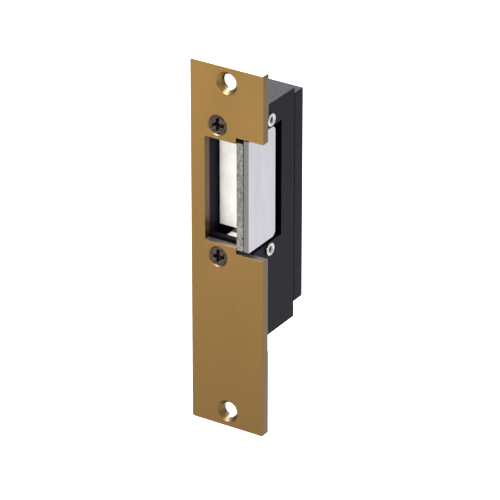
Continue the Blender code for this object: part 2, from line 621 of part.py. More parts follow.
def make_solenoid(maker):
    frame = maker.part("solenoid_frame", box_mesh((FRAME_X[0], FRAME_Y[0], FRAME_Z[0]),
                                                  (FRAME_X[1], FRAME_Y[1], FRAME_Z[1])), "frame_steel")
    maker.cut(frame, box_mesh((FRAME_X[0] + FRAME_T, FRAME_Y[0] - 1, FRAME_Z[0] + FRAME_T),
                              (FRAME_X[1] - FRAME_T, FRAME_Y[1] + 1, FRAME_Z[1] - FRAME_T)))
    for low_x in (FRAME_X[0], FRAME_X[1] - FRAME_T):
        ear = box_mesh((low_x, EAR_Y[0], FRAME_Z[1] - 4.0), (low_x + FRAME_T, EAR_Y[1], EAR_TOP))
        maker.join(frame, round_edges(ear, 0, 2.0, 5, lambda middle: middle.z > LEVER_Z))
        maker.cut(frame, rod_mesh("X", (LEVER_Y, LEVER_Z), PIN_HOLE_R, (low_x - 1, low_x + FRAME_T + 1), 28))
    axis = (COIL_X, COIL_Y)
    maker.cut(frame, rod_mesh("Z", axis, PLUNGER_R + GAP, (FRAME_Z[1] - FRAME_T - 1, FRAME_Z[1] + 1)))
    maker.cut(frame, rod_mesh("Z", axis, 2.3, (FRAME_Z[0] - 1, FRAME_Z[0] + FRAME_T + 1)))
    for height in FRAME_SCREW_Z:
        maker.cut(frame, rod_mesh("X", (COIL_Y, height), FRAME_SCREW_R + GAP,
                                  (FRAME_X[0] - 1, FRAME_X[0] + FRAME_T + 0.5), 24))

    low = FRAME_Z[0] + FRAME_T + GAP
    high = FRAME_Z[1] - FRAME_T - GAP
    flange = FLANGE_T
    tube_in, tube_out = PLUNGER_R + GAP, TUBE_R
    turned(maker, "bobbin", axis, [(tube_in, high), (BOBBIN_R, high), (BOBBIN_R, high - flange),
                                   (tube_out, high - flange), (tube_out, low + flange),
                                   (BOBBIN_R, low + flange), (BOBBIN_R, low), (tube_in, low),
                                   (tube_in, high)], "bobbin_nylon")
    wound_low, wound_high = low + flange + GAP, high - flange - GAP
    turned(maker, "coil_winding", axis, [(tube_out + GAP, wound_high), (BOBBIN_R - 0.4, wound_high),
                                         (BOBBIN_R - 0.4, wound_low), (tube_out + GAP, wound_low),
                                         (tube_out + GAP, wound_high)], "copper")
    turned(maker, "fixed_core", axis, [(0, CORE_TOP), (PLUNGER_R, CORE_TOP), (PLUNGER_R, low),
                                       (CORE_TAIL_R, low), (CORE_TAIL_R, FRAME_Z[0] + 0.2),
                                       (0, FRAME_Z[0] + 0.2)], "frame_steel")
    turned(maker, "plunger", axis, [(0, PLUNGER_TOP), (TOP_DISC_R, PLUNGER_TOP), (TOP_DISC_R, NECK_TOP),
                                    (NECK_R, NECK_TOP), (NECK_R, SHOULDER_Z[1]), (SHOULDER_R, SHOULDER_Z[1]),
                                    (SHOULDER_R, SHOULDER_Z[0]), (PLUNGER_R, SHOULDER_Z[0]),
                                    (PLUNGER_R, PLUNGER_BOTTOM), (0, PLUNGER_BOTTOM)], "rivet_steel")
    wire_r = SPRING_WIRE_R
    ends = (FRAME_Z[1] + GAP + wire_r, SHOULDER_Z[0] - GAP - wire_r)
    wire(maker, "plunger_spring", helix(axis, PLUNGER_R + 0.75, 0, PLUNGER_SPRING_TURNS, ends), wire_r,
         "spring_steel")
    for name, height in zip(("lower_solenoid_screw", "upper_solenoid_screw"), FRAME_SCREW_Z):
        face = BODY_X[0] + 0.1
        head = cone_mesh("X", (COIL_Y, height), (FRAME_SCREW_HEAD_R, FRAME_SCREW_R - 0.1),
                         (face, face + 1.6), 28)
        screw = maker.part(name, head, "black_screw")
        maker.join(screw, rod_mesh("X", (COIL_Y, height), FRAME_SCREW_R,
                                   (face + 1.0, FRAME_X[0] + FRAME_T - 0.1), 20))
        maker.cut(screw, *cross_recess("X", (COIL_Y, height), face, SOLENOID_RECESS, -1))


def make_terminals(maker):
    back = COVER_Y[1] - WALL - GAP
    low_z, high_z = TERMINAL_Z - TERMINAL_HALF, TERMINAL_Z + TERMINAL_HALF
    body = box_mesh((TERMINAL_BLOCK_X[0], TERMINAL_BLOCK_Y, low_z - 1.8),
                    (TERMINAL_BLOCK_X[1], back, high_z + 1.8))
    block = maker.part("terminal_block", body, "terminal_plastic")
    for side, middle in zip(("left", "right"), TERMINAL_X):
        centre = (middle, TERMINAL_Z)
        maker.cut(block, box_mesh((middle - 2.3, back - 0.9, low_z), (middle + 2.3, back + 1, high_z)))
        maker.cut(block, rod_mesh("Y", centre, 1.4, (28.0, back), 24))
        plate = maker.part(f"{side}_terminal_plate", box_mesh((middle - 2.0, back - 0.6, low_z + 0.3),
                                                              (middle + 2.0, back + 0.2, high_z - 0.3)),
                           "terminal_brass")
        maker.cut(plate, rod_mesh("Y", centre, 1.4, (back - 2, back + 1), 24))
        head = back + 0.5
        screw = maker.part(f"{side}_terminal_screw", rod_mesh("Y", centre, 1.9, (head, head + 1.1), 28),
                           "terminal_brass")
        maker.join(screw, rod_mesh("Y", centre, 1.1, (28.4, head + 0.5), 20))
        maker.cut(screw, box_mesh((middle - 3, head + 0.6, TERMINAL_Z - 0.3),
                                  (middle + 3, head + 2, TERMINAL_Z + 0.3)))


def make_coil_leads(maker):
    routes = {
        "left_coil_lead": ((-4.0, 16.6, -22.0), (-6.4, 20.0, -21.6), (-8.2, 23.4, -15.0), (-8.6, 24.0, 0.0),
                           (-8.3, 24.0, 18.0), (-6.6, 24.2, 29.0), (-4.6, 25.7, 36.0)),
        "right_coil_lead": ((0.8, 16.6, -22.0), (-1.4, 20.4, -21.6), (-5.6, 23.8, -15.0), (-6.4, 24.2, 0.0),
                            (-6.0, 24.2, 18.0), (-2.4, 24.4, 29.0), (1.4, 25.7, 36.0)),
    }
    for name, knots in routes.items():
        wire(maker, name, smooth_route(knots), LEAD_R, "lead_insulation")


def hang_on_axis(name, place, objects):
    """Parent the pieces of a moving body to an empty on its joint's axis."""
    axis = bpy.data.objects.new(name, None)
    axis.location = [value * MM for value in place]
    bpy.context.scene.collection.objects.link(axis)
    inverse = Matrix.Translation(axis.location).inverted()
    for obj in objects:
        obj.parent = axis
        obj.matrix_parent_inverse = inverse


def main():
    clear_scene()
    maker = Maker()
    make_faceplate(maker)
    make_plate_screws(maker)
    make_housing(maker)
    make_rear_cover(maker)
    make_cover_screws(maker)
    make_keeper(maker)
    make_wear_plate(maker)
    make_face_plate(maker)
    make_face_screws(maker)
    make_bearing_blocks(maker)
    make_rivets(maker)
    make_pivot_pin(maker)
    make_keeper_spring(maker)
    make_lever(maker)
    make_lever_pin(maker)
    make_solenoid(maker)
    make_terminals(maker)
    make_coil_leads(maker)
    parts = maker.parts.objects
    hang_on_axis("keeper_hinge", (PIVOT_X, PIVOT_Y, MID_Z),
                 [parts[name] for name in ("keeper", "keeper_wear_plate", "keeper_face_plate",
                                           "upper_keeper_face_screw", "lower_keeper_face_screw")])
    hang_on_axis("lever_pivot", (COIL_X, LEVER_Y, LEVER_Z), [parts["locking_lever"]])
    hang_on_axis("plunger_slide", (COIL_X, COIL_Y, PLUNGER_TOP), [parts["plunger"]])


main()
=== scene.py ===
import json
import math

import bmesh
import bpy
from mathutils import Matrix, Vector


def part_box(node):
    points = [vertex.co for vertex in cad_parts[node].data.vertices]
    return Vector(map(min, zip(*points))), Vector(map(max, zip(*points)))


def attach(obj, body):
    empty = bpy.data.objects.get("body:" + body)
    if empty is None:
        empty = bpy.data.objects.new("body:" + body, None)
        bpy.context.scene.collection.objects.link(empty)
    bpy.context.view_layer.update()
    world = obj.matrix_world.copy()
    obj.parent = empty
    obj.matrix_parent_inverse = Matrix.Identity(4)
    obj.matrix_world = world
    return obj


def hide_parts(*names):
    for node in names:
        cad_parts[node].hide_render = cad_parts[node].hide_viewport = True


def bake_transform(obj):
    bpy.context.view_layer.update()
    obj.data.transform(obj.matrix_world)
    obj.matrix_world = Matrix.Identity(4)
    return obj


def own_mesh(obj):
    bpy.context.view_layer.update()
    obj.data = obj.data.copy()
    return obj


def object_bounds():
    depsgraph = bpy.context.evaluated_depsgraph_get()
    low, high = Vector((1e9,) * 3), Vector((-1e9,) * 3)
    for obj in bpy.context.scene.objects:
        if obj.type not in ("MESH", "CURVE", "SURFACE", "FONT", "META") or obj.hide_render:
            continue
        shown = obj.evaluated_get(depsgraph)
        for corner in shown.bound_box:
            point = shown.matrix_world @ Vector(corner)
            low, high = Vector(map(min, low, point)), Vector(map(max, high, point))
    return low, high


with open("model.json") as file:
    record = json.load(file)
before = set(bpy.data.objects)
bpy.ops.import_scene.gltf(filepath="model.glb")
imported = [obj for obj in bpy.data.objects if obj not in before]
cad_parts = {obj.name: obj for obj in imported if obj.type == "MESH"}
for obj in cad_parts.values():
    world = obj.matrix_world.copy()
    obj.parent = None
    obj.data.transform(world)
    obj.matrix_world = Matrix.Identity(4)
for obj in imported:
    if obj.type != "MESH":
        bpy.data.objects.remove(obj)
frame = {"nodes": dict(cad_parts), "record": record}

MM = 0.001
cad_low, cad_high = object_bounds()

# Camera: the side and the height it looks from, in degrees, and its distance and lens.
CAMERA_SIDE = 32.5
CAMERA_RISE = 26.8
CAMERA_DISTANCE = 1.5
CAMERA_LENS = 290.5
AIM_RIGHT = 0.0085             # the object stands a little left of the picture's centre
AIM_UP = 0.0003

# Lights: side and height angles in degrees, distance and size in metres, power in watts.
LIGHTS = (
    ("key", 4, 16, 1.2, (0.5, 0.5), 7),
    ("top", -33, 60, 1.1, (0.6, 0.6), 9),
    ("rear", -147, 27, 1.5, (0.9, 0.9), 17),
)
WORLD_WHITE = 0.75
FLOOR_HALF = 6.0
FLOOR_DROP = 0.10              # the floor lies this far below the object
FLOOR_GREY = 0.93

# Sizes from here on are in millimetres.
PLATE_SCREW_X = -4.2
PLATE_SCREW_Z = {"upper_faceplate_screw": 50.4, "lower_faceplate_screw": -3.6}
MOUNT_HOLE_Z = 68.25           # the two mounting holes, above and below the middle
MOUNT_HOLE_R, MOUNT_HEAD_R = 3.1, 4.6
SCREW_HOLE_R, SCREW_SEAT_R = 2.3, 4.3
OPENING_X, OPENING_Z = (-9.75, 4.9), (2.0, 44.8)
NOTCH_LEFT, NOTCH_Z = 3.9, (-0.5, 47.3)
SEAT_FRONT, SEAT_Z = -0.3, (-39.2, 57.4)    # relief in the plate's back, where the body sits
COIL_AXIS = (-1.6, 9.4)        # X and Y of the solenoid's axis
KEEPER_AXIS = (3.6, 12.4)      # X and Y of the keeper's pivot
WIRE_R = 0.35                  # both springs' wire
COIL_STEPS = 40                # points in one turn of a spring
KEEPER_COIL_R = 2.4
KEEPER_COIL_TURNS = -4.75      # clockwise, from the top down
PLUNGER_COIL_TURNS = 2.5
LEG_START = 3.0                # the torsion spring's legs leave the coil this far from the pivot
CUT_PAST = 1                   # how far a cutter goes past the faces that it opens
RECESS_PAST = 0.05             # the same for a screw's recess

# Edges and shading. Edges that turn by more than these angles, in degrees, are rounded or stay
# sharp in the shading. Points closer than the weld's distance, in metres, are made one.
ROUNDED_ANGLE = 32
SHARP_ANGLE = 45
RIVET_SHARP_ANGLE = 50
WINDING_SHARP_ANGLE = 60
WELD_DISTANCE = 0.000002

# Noise lies mostly between these two values.
NOISE_LOW, NOISE_HIGH = 0.3, 0.7
# A face counts as looking along an axis from the first share on, and fully from the second.
FACING = (0.6, 0.95)

nodes = frame["nodes"]


# ---------------------------------------------------------------- camera, stage and light

def direction(side, rise):
    """Unit vector from the object towards a place at this side angle and height angle."""
    a, b = math.radians(side), math.radians(rise)
    return Vector((math.sin(a) * math.cos(b), -math.cos(a) * math.cos(b), math.sin(b)))


def aim(obj, place, target):
    """Stand a camera or a light at a place, looking at the target."""
    obj.location = place
    obj.rotation_euler = (Vector(target) - Vector(place)).to_track_quat("-Z", "Y").to_euler()


def make_camera():
    plate_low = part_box("faceplate")[0]
    centre = Vector((0, plate_low.y, 0))
    back = direction(CAMERA_SIDE, CAMERA_RISE)
    side = math.radians(CAMERA_SIDE)
    right = Vector((math.cos(side), math.sin(side), 0))
    up = back.cross(right)
    target = centre + right * AIM_RIGHT + up * AIM_UP
    data = bpy.data.cameras.new("camera")
    data.sensor_width = 36
    data.lens = CAMERA_LENS
    data.clip_start = 0.05
    data.clip_end = 20
    camera = bpy.data.objects.new("camera", data)
    bpy.context.scene.collection.objects.link(camera)
    aim(camera, target + back * CAMERA_DISTANCE, target)
    bpy.context.scene.camera = camera


def area_light(name, side, rise, distance, size, power):
    data = bpy.data.lights.new(name, "AREA")
    data.shape = "RECTANGLE"
    data.size, data.size_y = size
    data.energy = power
    light = bpy.data.objects.new(name, data)
    bpy.context.scene.collection.objects.link(light)
    aim(light, direction(side, rise) * distance, (0, 0, 0))


def make_stage():
    """Pale floor below the object, and plain soft light all round."""
    scene = bpy.context.scene
    scene.view_settings.view_transform = "Standard"
    world = bpy.data.worlds.new("studio")
    world.use_nodes = True
    sky = world.node_tree.nodes["Background"]
    sky.inputs["Color"].default_value = (1.0, 1.0, 1.0, 1)
    sky.inputs["Strength"].default_value = WORLD_WHITE
    scene.world = world
    built = bmesh.new()
    bmesh.ops.create_grid(built, x_segments=1, y_segments=1, size=FLOOR_HALF)
    mesh = bpy.data.meshes.new("floor")
    built.to_mesh(mesh)
    built.free()
    floor = bpy.data.objects.new("floor", mesh)
    floor.location = (0, 0, cad_low[2] - FLOOR_DROP)
    scene.collection.objects.link(floor)
    paint = bpy.data.materials.new("floor_white")
    paint.use_nodes = True
    shader = paint.node_tree.nodes["Principled BSDF"]
    shader.inputs["Base Color"].default_value = (FLOOR_GREY, FLOOR_GREY, FLOOR_GREY, 1)
    shader.inputs["Roughness"].default_value = 0.9
    shader.inputs["Specular IOR Level"].default_value = 0.0
    mesh.materials.append(paint)
    for row in LIGHTS:
        area_light(*row)


# ---------------------------------------------------------------- materials

class Surface:
    """Builds one material's nodes. Patterns are laid in object space, in metres.

    Tones come first: vary_colour, then painted shade and painted light on top of it.
    """

    def __init__(self, name, colour, roughness, metallic=0.0, specular=0.5):
        self.material = bpy.data.materials.new(name)
        self.material.use_nodes = True
        self.tree = self.material.node_tree
        self.shader = self.tree.nodes["Principled BSDF"]
        self.shader.inputs["Base Color"].default_value = (*colour, 1)
        self.shader.inputs["Roughness"].default_value = roughness
        self.shader.inputs["Metallic"].default_value = metallic
        self.shader.inputs["Specular IOR Level"].default_value = specular
        self.place = self.tree.nodes.new("ShaderNodeTexCoord").outputs["Object"]
        self.normal = None
        self.colour = colour
        self.rough = roughness

    def link(self, source, target):
        self.tree.links.new(source, target)

    def stretched(self, scale):
        """Object coordinates multiplied by a scale of their own along X, Y and Z."""
        node = self.tree.nodes.new("ShaderNodeMapping")
        node.inputs["Scale"].default_value = scale
        self.link(self.place, node.inputs["Vector"])
        return node.outputs["Vector"]

    def noise(self, scale, detail=4.0, roughness=0.5):
        """Cloudy pattern; a larger scale makes it finer along that axis."""
        node = self.tree.nodes.new("ShaderNodeTexNoise")
        node.inputs["Scale"].default_value = 1.0
        node.inputs["Detail"].default_value = detail
        node.inputs["Roughness"].default_value = roughness
        self.link(self.stretched(scale), node.inputs["Vector"])
        return node.outputs["Fac"]

    def ramp(self, source, low, high, dark, light):
        """Colours from dark to light as the source runs from low to high."""
        node = self.tree.nodes.new("ShaderNodeValToRGB")
        node.color_ramp.elements[0].position = low
        node.color_ramp.elements[1].position = high
        node.color_ramp.elements[0].color = (*dark, 1)
        node.color_ramp.elements[1].color = (*light, 1)
        self.link(source, node.inputs["Fac"])
        return node.outputs["Color"]

    def spread(self, source, low, high, out_low, out_high):
        """Values from out_low to out_high as the source runs from low to high."""
        node = self.tree.nodes.new("ShaderNodeMapRange")
        limits = {"From Min": low, "From Max": high, "To Min": out_low, "To Max": out_high}
        for name, value in limits.items():
            node.inputs[name].default_value = value
        self.link(source, node.inputs["Value"])
        return node.outputs["Result"]

    def overlay(self, share, colour):
        """Lay another colour over the tone so far, by a share that runs over the surface."""
        node = self.tree.nodes.new("ShaderNodeMix")
        node.data_type = "RGBA"
        self.link(share, node.inputs["Factor"])
        self.link(self.tint, node.inputs["A"])
        node.inputs["B"].default_value = (*colour, 1)
        self.tint = node.outputs["Result"]
        self.link(self.tint, self.shader.inputs["Base Color"])
        return self

    def vary_colour(self, scale, amount):
        """Lighter and darker cloudy patches of the base colour."""
        dark = tuple(c * (1 - amount) for c in self.colour)
        light = tuple(min(1.0, c * (1 + amount)) for c in self.colour)
        self.tint = self.ramp(self.noise(scale), NOISE_LOW, NOISE_HIGH, dark, light)
        self.link(self.tint, self.shader.inputs["Base Color"])
        return self

    def vary_roughness(self, scale, amount):
        """Glossier and duller cloudy patches."""
        result = self.spread(self.noise(scale, 5.0), NOISE_LOW, NOISE_HIGH,
                             self.rough - amount, self.rough + amount)
        self.link(result, self.shader.inputs["Roughness"])
        return self

    def painted_facing_light(self, axis, sign, colour):
        """Painted light and shade: a tint on the faces that look along one axis, as light falls on
        them.
        """
        split = self.tree.nodes.new("ShaderNodeSeparateXYZ")
        self.link(self.place.node.outputs["Normal"], split.inputs["Vector"])
        share = self.spread(split.outputs[axis], sign * FACING[0], sign * FACING[1], 0.0, 1.0)
        return self.overlay(share, colour)

    def fade(self, axis, low, high, share_low):
        """Painted shade, darker towards the low end of one axis: the share of the colour left
        there.
        """
        split = self.tree.nodes.new("ShaderNodeSeparateXYZ")
        self.link(self.place, split.inputs["Vector"])
        share = self.spread(split.outputs[axis], low, high, 1.0, 0.0)
        return self.overlay(share, tuple(channel * share_low for channel in self.colour))

    def bump(self, height, strength, distance):
        """Relief on top of any laid before; distance is its height in metres."""
        node = self.tree.nodes.new("ShaderNodeBump")
        node.inputs["Strength"].default_value = strength
        node.inputs["Distance"].default_value = distance
        self.link(height, node.inputs["Height"])
        if self.normal is not None:
            self.link(self.normal, node.inputs["Normal"])
        self.normal = node.outputs["Normal"]
        self.link(self.normal, self.shader.inputs["Normal"])
        return self


def satin_brass():
    s = Surface("satin_brass", (0.230, 0.132, 0.038), 0.34, 0.88)
    s.vary_colour((60, 60, 22), 0.07).vary_roughness((5200, 5200, 90), 0.07)
    # Painted shade: the plate grows darker towards its bottom.
    s.fade("Z", -0.0746, 0.0600, 0.66)
    # Painted shade on the faces that look along +X, and a painted highlight on the faces that look
    # up.
    s.painted_facing_light("X", 1, (0.130, 0.088, 0.045)).painted_facing_light("Z", 1, (0.48, 0.40, 0.30))
    s.bump(s.noise((7000, 7000, 110), 3.0), 0.22, 0.00002)
    s.bump(s.noise((900, 900, 900), 4.0), 0.05, 0.00004)
    return s.material


def black_coating():
    s = Surface("black_coating", (0.0080, 0.0072, 0.0150), 0.42, 0.0, 0.045)
    s.vary_colour((160, 160, 120), 0.12).vary_roughness((900, 900, 900), 0.05)
    # Painted shade on the faces that look to the front, along -Y.
    s.painted_facing_light("Y", -1, (0.0015, 0.0014, 0.0022))
    s.bump(s.noise((5200, 5200, 5200), 4.0, 0.6), 0.25, 0.00004)
    return s.material


def black_oxide():
    s = Surface("black_oxide", (0.050, 0.037, 0.032), 0.16, 0.85, 0.35)
    s.vary_colour((850, 850, 850), 0.90).vary_roughness((2600, 2600, 2600), 0.08)
    s.bump(s.noise((1100, 1100, 1100), 3.0), 0.55, 0.00012)
    return s.material


def cast_steel():
    s = Surface("cast_steel", (0.180, 0.169, 0.156), 0.42, 0.85)
    s.vary_colour((1500, 1500, 1100), 0.60).vary_roughness((1500, 1500, 400), 0.10)
    s.bump(s.noise((1700, 1700, 1300), 5.0, 0.6), 0.50, 0.00010)
    return s.material


def satin_steel():
    s = Surface("satin_steel", (0.455, 0.448, 0.492), 0.28, 0.92)
    s.vary_colour((90, 220, 30), 0.05).vary_roughness((4500, 4500, 80), 0.06)
    # Painted shade on the faces that look to the front, along -Y.
    s.painted_facing_light("Y", -1, (0.150, 0.142, 0.145))
    s.bump(s.noise((6200, 6200, 90), 3.0), 0.16, 0.00002)
    return s.material


def bright_plate():
    s = Surface("bright_plate", (0.93, 0.92, 0.86), 0.38, 0.05)
    s.vary_colour((260, 260, 160), 0.07).vary_roughness((1800, 1800, 300), 0.06)
    s.bump(s.noise((2200, 2200, 300), 4.0), 0.12, 0.00003)
    return s.material


def die_cast_zinc():
    s = Surface("die_cast_zinc", (0.86, 0.85, 0.80), 0.45, 0.30)
    s.vary_colour((420, 420, 420), 0.12).vary_roughness((1400, 1400, 1400), 0.08)
    s.bump(s.noise((1900, 1900, 1900), 5.0, 0.6), 0.25, 0.00006)
    return s.material


def bright_plating():
    s = Surface("bright_plating", (0.52, 0.51, 0.50), 0.20, 0.95)
    s.vary_colour((900, 900, 900), 0.08).vary_roughness((2600, 2600, 2600), 0.06)
    s.bump(s.noise((2200, 2200, 2200), 4.0), 0.10, 0.00003)
    return s.material


def spring_wire():
    s = Surface("spring_wire", (0.30, 0.30, 0.31), 0.34, 0.92)
    s.vary_colour((1100, 1100, 1100), 0.18).vary_roughness((3000, 3000, 3000), 0.08)
    s.bump(s.noise((4200, 4200, 4200), 3.0), 0.18, 0.00003)
    return s.material


def zinc_plated_steel():
    s = Surface("zinc_plated_steel", (0.47, 0.47, 0.45), 0.36, 0.90)
    s.vary_colour((260, 260, 260), 0.15).vary_roughness((1900, 1900, 1900), 0.08)
    s.bump(s.noise((2600, 2600, 2600), 4.0), 0.18, 0.00004)
    return s.material


def natural_nylon():
    s = Surface("natural_nylon", (0.72, 0.69, 0.58), 0.50)
    s.vary_colour((300, 300, 300), 0.06).vary_roughness((1200, 1200, 1200), 0.06)
    s.bump(s.noise((2600, 2600, 2600), 4.0), 0.20, 0.00004)
    s.shader.inputs["Subsurface Weight"].default_value = 0.15
    s.shader.inputs["Subsurface Radius"].default_value = (0.001, 0.0008, 0.0006)
    s.shader.inputs["Subsurface Scale"].default_value = 0.5
    return s.material


def enamelled_copper():
    s = Surface("enamelled_copper", (0.52, 0.19, 0.07), 0.28, 0.85)
    s.vary_colour((200, 200, 5200), 0.25).vary_roughness((800, 800, 3600), 0.08)
    s.bump(s.noise((180, 180, 8200), 2.0), 0.55, 0.0001)
    s.shader.inputs["Coat Weight"].default_value = 0.5
    return s.material


def black_moulding():
    s = Surface("black_moulding", (0.028, 0.028, 0.028), 0.48)
    s.vary_colour((300, 300, 300), 0.15).vary_roughness((1500, 1500, 1500), 0.07)
    s.bump(s.noise((4200, 4200, 4200), 4.0), 0.22, 0.00004)
    return s.material


def bright_brass():
    s = Surface("bright_brass", (0.62, 0.44, 0.17), 0.26, 0.95)
    s.vary_colour((520, 520, 520), 0.10).vary_roughness((2600, 2600, 2600), 0.07)
    s.bump(s.noise((3000, 3000, 3000), 4.0), 0.14, 0.00003)
    return s.material


def red_insulation():
    s = Surface("red_insulation", (0.36, 0.022, 0.02), 0.46)
    s.vary_colour((700, 700, 700), 0.12).vary_roughness((1900, 1900, 1900), 0.06)
    s.bump(s.noise((2600, 2600, 2600), 3.0), 0.15, 0.00003)
    return s.material


SLOT_MAKERS = {
    "brass_plate": satin_brass, "black_body": black_coating, "black_screw": black_oxide,
    "keeper_steel": cast_steel, "polished_steel": satin_steel, "bright_plate": bright_plate,
    "zinc": die_cast_zinc, "rivet_steel": bright_plating, "spring_steel": spring_wire,
    "frame_steel": zinc_plated_steel, "bobbin_nylon": natural_nylon, "copper": enamelled_copper,
    "terminal_plastic": black_moulding, "terminal_brass": bright_brass,
    "lead_insulation": red_insulation,
}
SURFACES = {slot: make() for slot, make in SLOT_MAKERS.items()}
NODE_SLOT = {row["node"]: row["material_slot"] for row in frame["record"]["subparts"]}
BODIES = frame["record"]["behaviour"]["bodies"]
NODE_BODY = {name: body for body, names in BODIES.items() for name in names}


# ---------------------------------------------------------------- solids, in millimetres

def corners(node):
    """Low and high corner of a CAD node, in millimetres."""
    low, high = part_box(node)
    return low / MM, high / MM


def box_mesh(low, high):
    """Box between two corners."""
    built = bmesh.new()
    bmesh.ops.create_cube(built, size=1.0)
    bmesh.ops.scale(built, vec=Vector(high) - Vector(low), verts=built.verts)
    bmesh.ops.translate(built, vec=(Vector(high) + Vector(low)) / 2, verts=built.verts)
    return built


def round_edges(built, axis, radius, segments, keep):
    """Round the edges along one axis whose middle passes the keep test."""
    edges = []
    for edge in built.edges:
        along = (edge.verts[1].co - edge.verts[0].co).normalized()
        if abs(along[axis]) > 0.99 and keep((edge.verts[1].co + edge.verts[0].co) / 2):
            edges.append(edge)
    bmesh.ops.bevel(built, geom=edges, offset=radius, segments=segments, profile=0.5,
                    affect="EDGES")


TURNS = {"X": Matrix.Rotation(math.pi / 2, 3, "Y"), "Y": Matrix.Rotation(-math.pi / 2, 3, "X"),
         "Z": Matrix.Identity(3)}


def lay_along(built, axis, centre, along):
    """Turn a piece from the Z axis to another, and take it to its place."""
    bmesh.ops.rotate(built, matrix=TURNS[axis], verts=built.verts)
    place = list(centre)
    place.insert("XYZ".index(axis), along)
    bmesh.ops.translate(built, vec=place, verts=built.verts)
    return built


def cone_mesh(axis, centre, radii, span, segments=72):
    """Cylinder or cone along X, Y or Z; radii and span run from the low end to the high end."""
    built = bmesh.new()
    bmesh.ops.create_cone(built, cap_ends=True, segments=segments, radius1=radii[0],
                          radius2=radii[1], depth=span[1] - span[0])
    return lay_along(built, axis, centre, (span[0] + span[1]) / 2)


def turned_mesh(axis, centre, profile, segments=64):
    """Solid of revolution; profile rows are (radius, place along the axis), from pole to pole."""
    built = bmesh.new()
    spots = [built.verts.new((radius, 0, along)) for radius, along in profile]
    edges = [built.edges.new(pair) for pair in zip(spots, spots[1:])]
    bmesh.ops.spin(built, geom=spots + edges, cent=(0, 0, 0), axis=(0, 0, 1),
                   angle=2 * math.pi, steps=segments, use_duplicate=False)
    bmesh.ops.remove_doubles(built, verts=built.verts, dist=0.0005)
    bmesh.ops.recalc_face_normals(built, faces=built.faces)
    return lay_along(built, axis, centre, 0)


def to_object(name, built):
    """Object from a piece built in millimetres."""
    bmesh.ops.scale(built, vec=(MM, MM, MM), verts=built.verts)
    bmesh.ops.recalc_face_normals(built, faces=built.faces)
    mesh = bpy.data.meshes.new(name)
    built.to_mesh(mesh)
    built.free()
    obj = bpy.data.objects.new(name, mesh)
    bpy.context.scene.collection.objects.link(obj)
    return obj


def evaluated_mesh(obj):
    """Mesh of an object with its modifiers applied."""
    bpy.context.view_layer.update()
    graph = bpy.context.evaluated_depsgraph_get()
    return bpy.data.meshes.new_from_object(obj.evaluated_get(graph))


def solid(name, base, cutters):
    """Base solid with the cutters taken away in order."""
    obj = to_object(name, base)
    tools = []
    for built in cutters:
        tool = to_object(name + "_tool", built)
        tools.append(tool)
        cut = obj.modifiers.new("cut", "BOOLEAN")
        cut.operation = "DIFFERENCE"
        cut.solver = "EXACT"
        cut.object = tool
    finished = evaluated_mesh(obj)
    obj.modifiers.clear()
    obj.data = finished
    for tool in tools:
        bpy.data.objects.remove(tool, do_unlink=True)
    return obj


def shade(obj, angle):
    """Smooth shading, but for edges that turn by more than the angle, in degrees."""
    obj.data.shade_smooth()
    obj.data.set_sharp_from_angle(angle=math.radians(angle))


def soften(obj, width, segments=3):
    """Rounded edges and smooth shading."""
    weld = obj.modifiers.new("weld", "WELD")
    weld.merge_threshold = WELD_DISTANCE
    bevel = obj.modifiers.new("edges", "BEVEL")
    bevel.width = width * MM
    bevel.segments = segments
    bevel.limit_method = "ANGLE"
    bevel.angle_limit = math.radians(ROUNDED_ANGLE)
    bevel.harden_normals = True
    bevel.miter_outer = "MITER_ARC"
    even = obj.modifiers.new("even", "WEIGHTED_NORMAL")
    even.keep_sharp = True
    shade(obj, SHARP_ANGLE)


def paint(obj, slot):
    obj.data.materials.clear()
    obj.data.materials.append(SURFACES[slot])


def stand_for(obj, node, rides=True):
    """The piece shows in place of a CAD node, with its body, slot and finish."""
    slot = NODE_SLOT[node]
    paint(obj, slot)
    if rides:
        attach(obj, NODE_BODY[node])
    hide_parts(node)
    return obj


# ---------------------------------------------------------------- detailed pieces

def frustum_bar(half_length, half_width, face, depth, outward, upright):
    """Bar across a screw head that narrows towards its bottom, standing along Y at the origin."""
    taper = 0.55
    built = box_mesh((-half_length, -0.5, -half_width), (half_length, 0.5, half_width))
    for vert in built.verts:
        deep = vert.co.y * outward < 0
        vert.co.y = face - outward * depth if deep else face + outward * RECESS_PAST
        if deep:
            vert.co.x *= taper
            vert.co.z *= taper
    if upright:
        bmesh.ops.rotate(built, matrix=Matrix.Rotation(math.pi / 2, 3, "Y"), verts=built.verts)
    return built


def moved(built, place, quarter=None):
    """Turn a built piece from along Y to along X if asked, and take it to its place."""
    if quarter:
        bmesh.ops.rotate(built, matrix=Matrix.Rotation(quarter, 3, "Z"), verts=built.verts)
    bmesh.ops.translate(built, vec=place, verts=built.verts)
    return built


def cross_cutters(face, depth, reach, width, outward, place, quarter=None):
    """Cutters for a cross recess with tapered wings and a pointed middle.

    The screw's head is at face, and outward is the sign of the direction it looks in along Y.
    """
    wings = [frustum_bar(reach, width / 2, face, depth, outward, upright)
             for upright in (False, True)]
    mouth, point = width * 0.95, 0.12
    radii = (mouth, point) if outward < 0 else (point, mouth)
    ends = sorted((face + outward * RECESS_PAST, face - outward * depth * 1.15))
    middle = cone_mesh("Y", (0, 0), radii, ends, 32)
    return [moved(built, place, quarter) for built in (*wings, middle)]


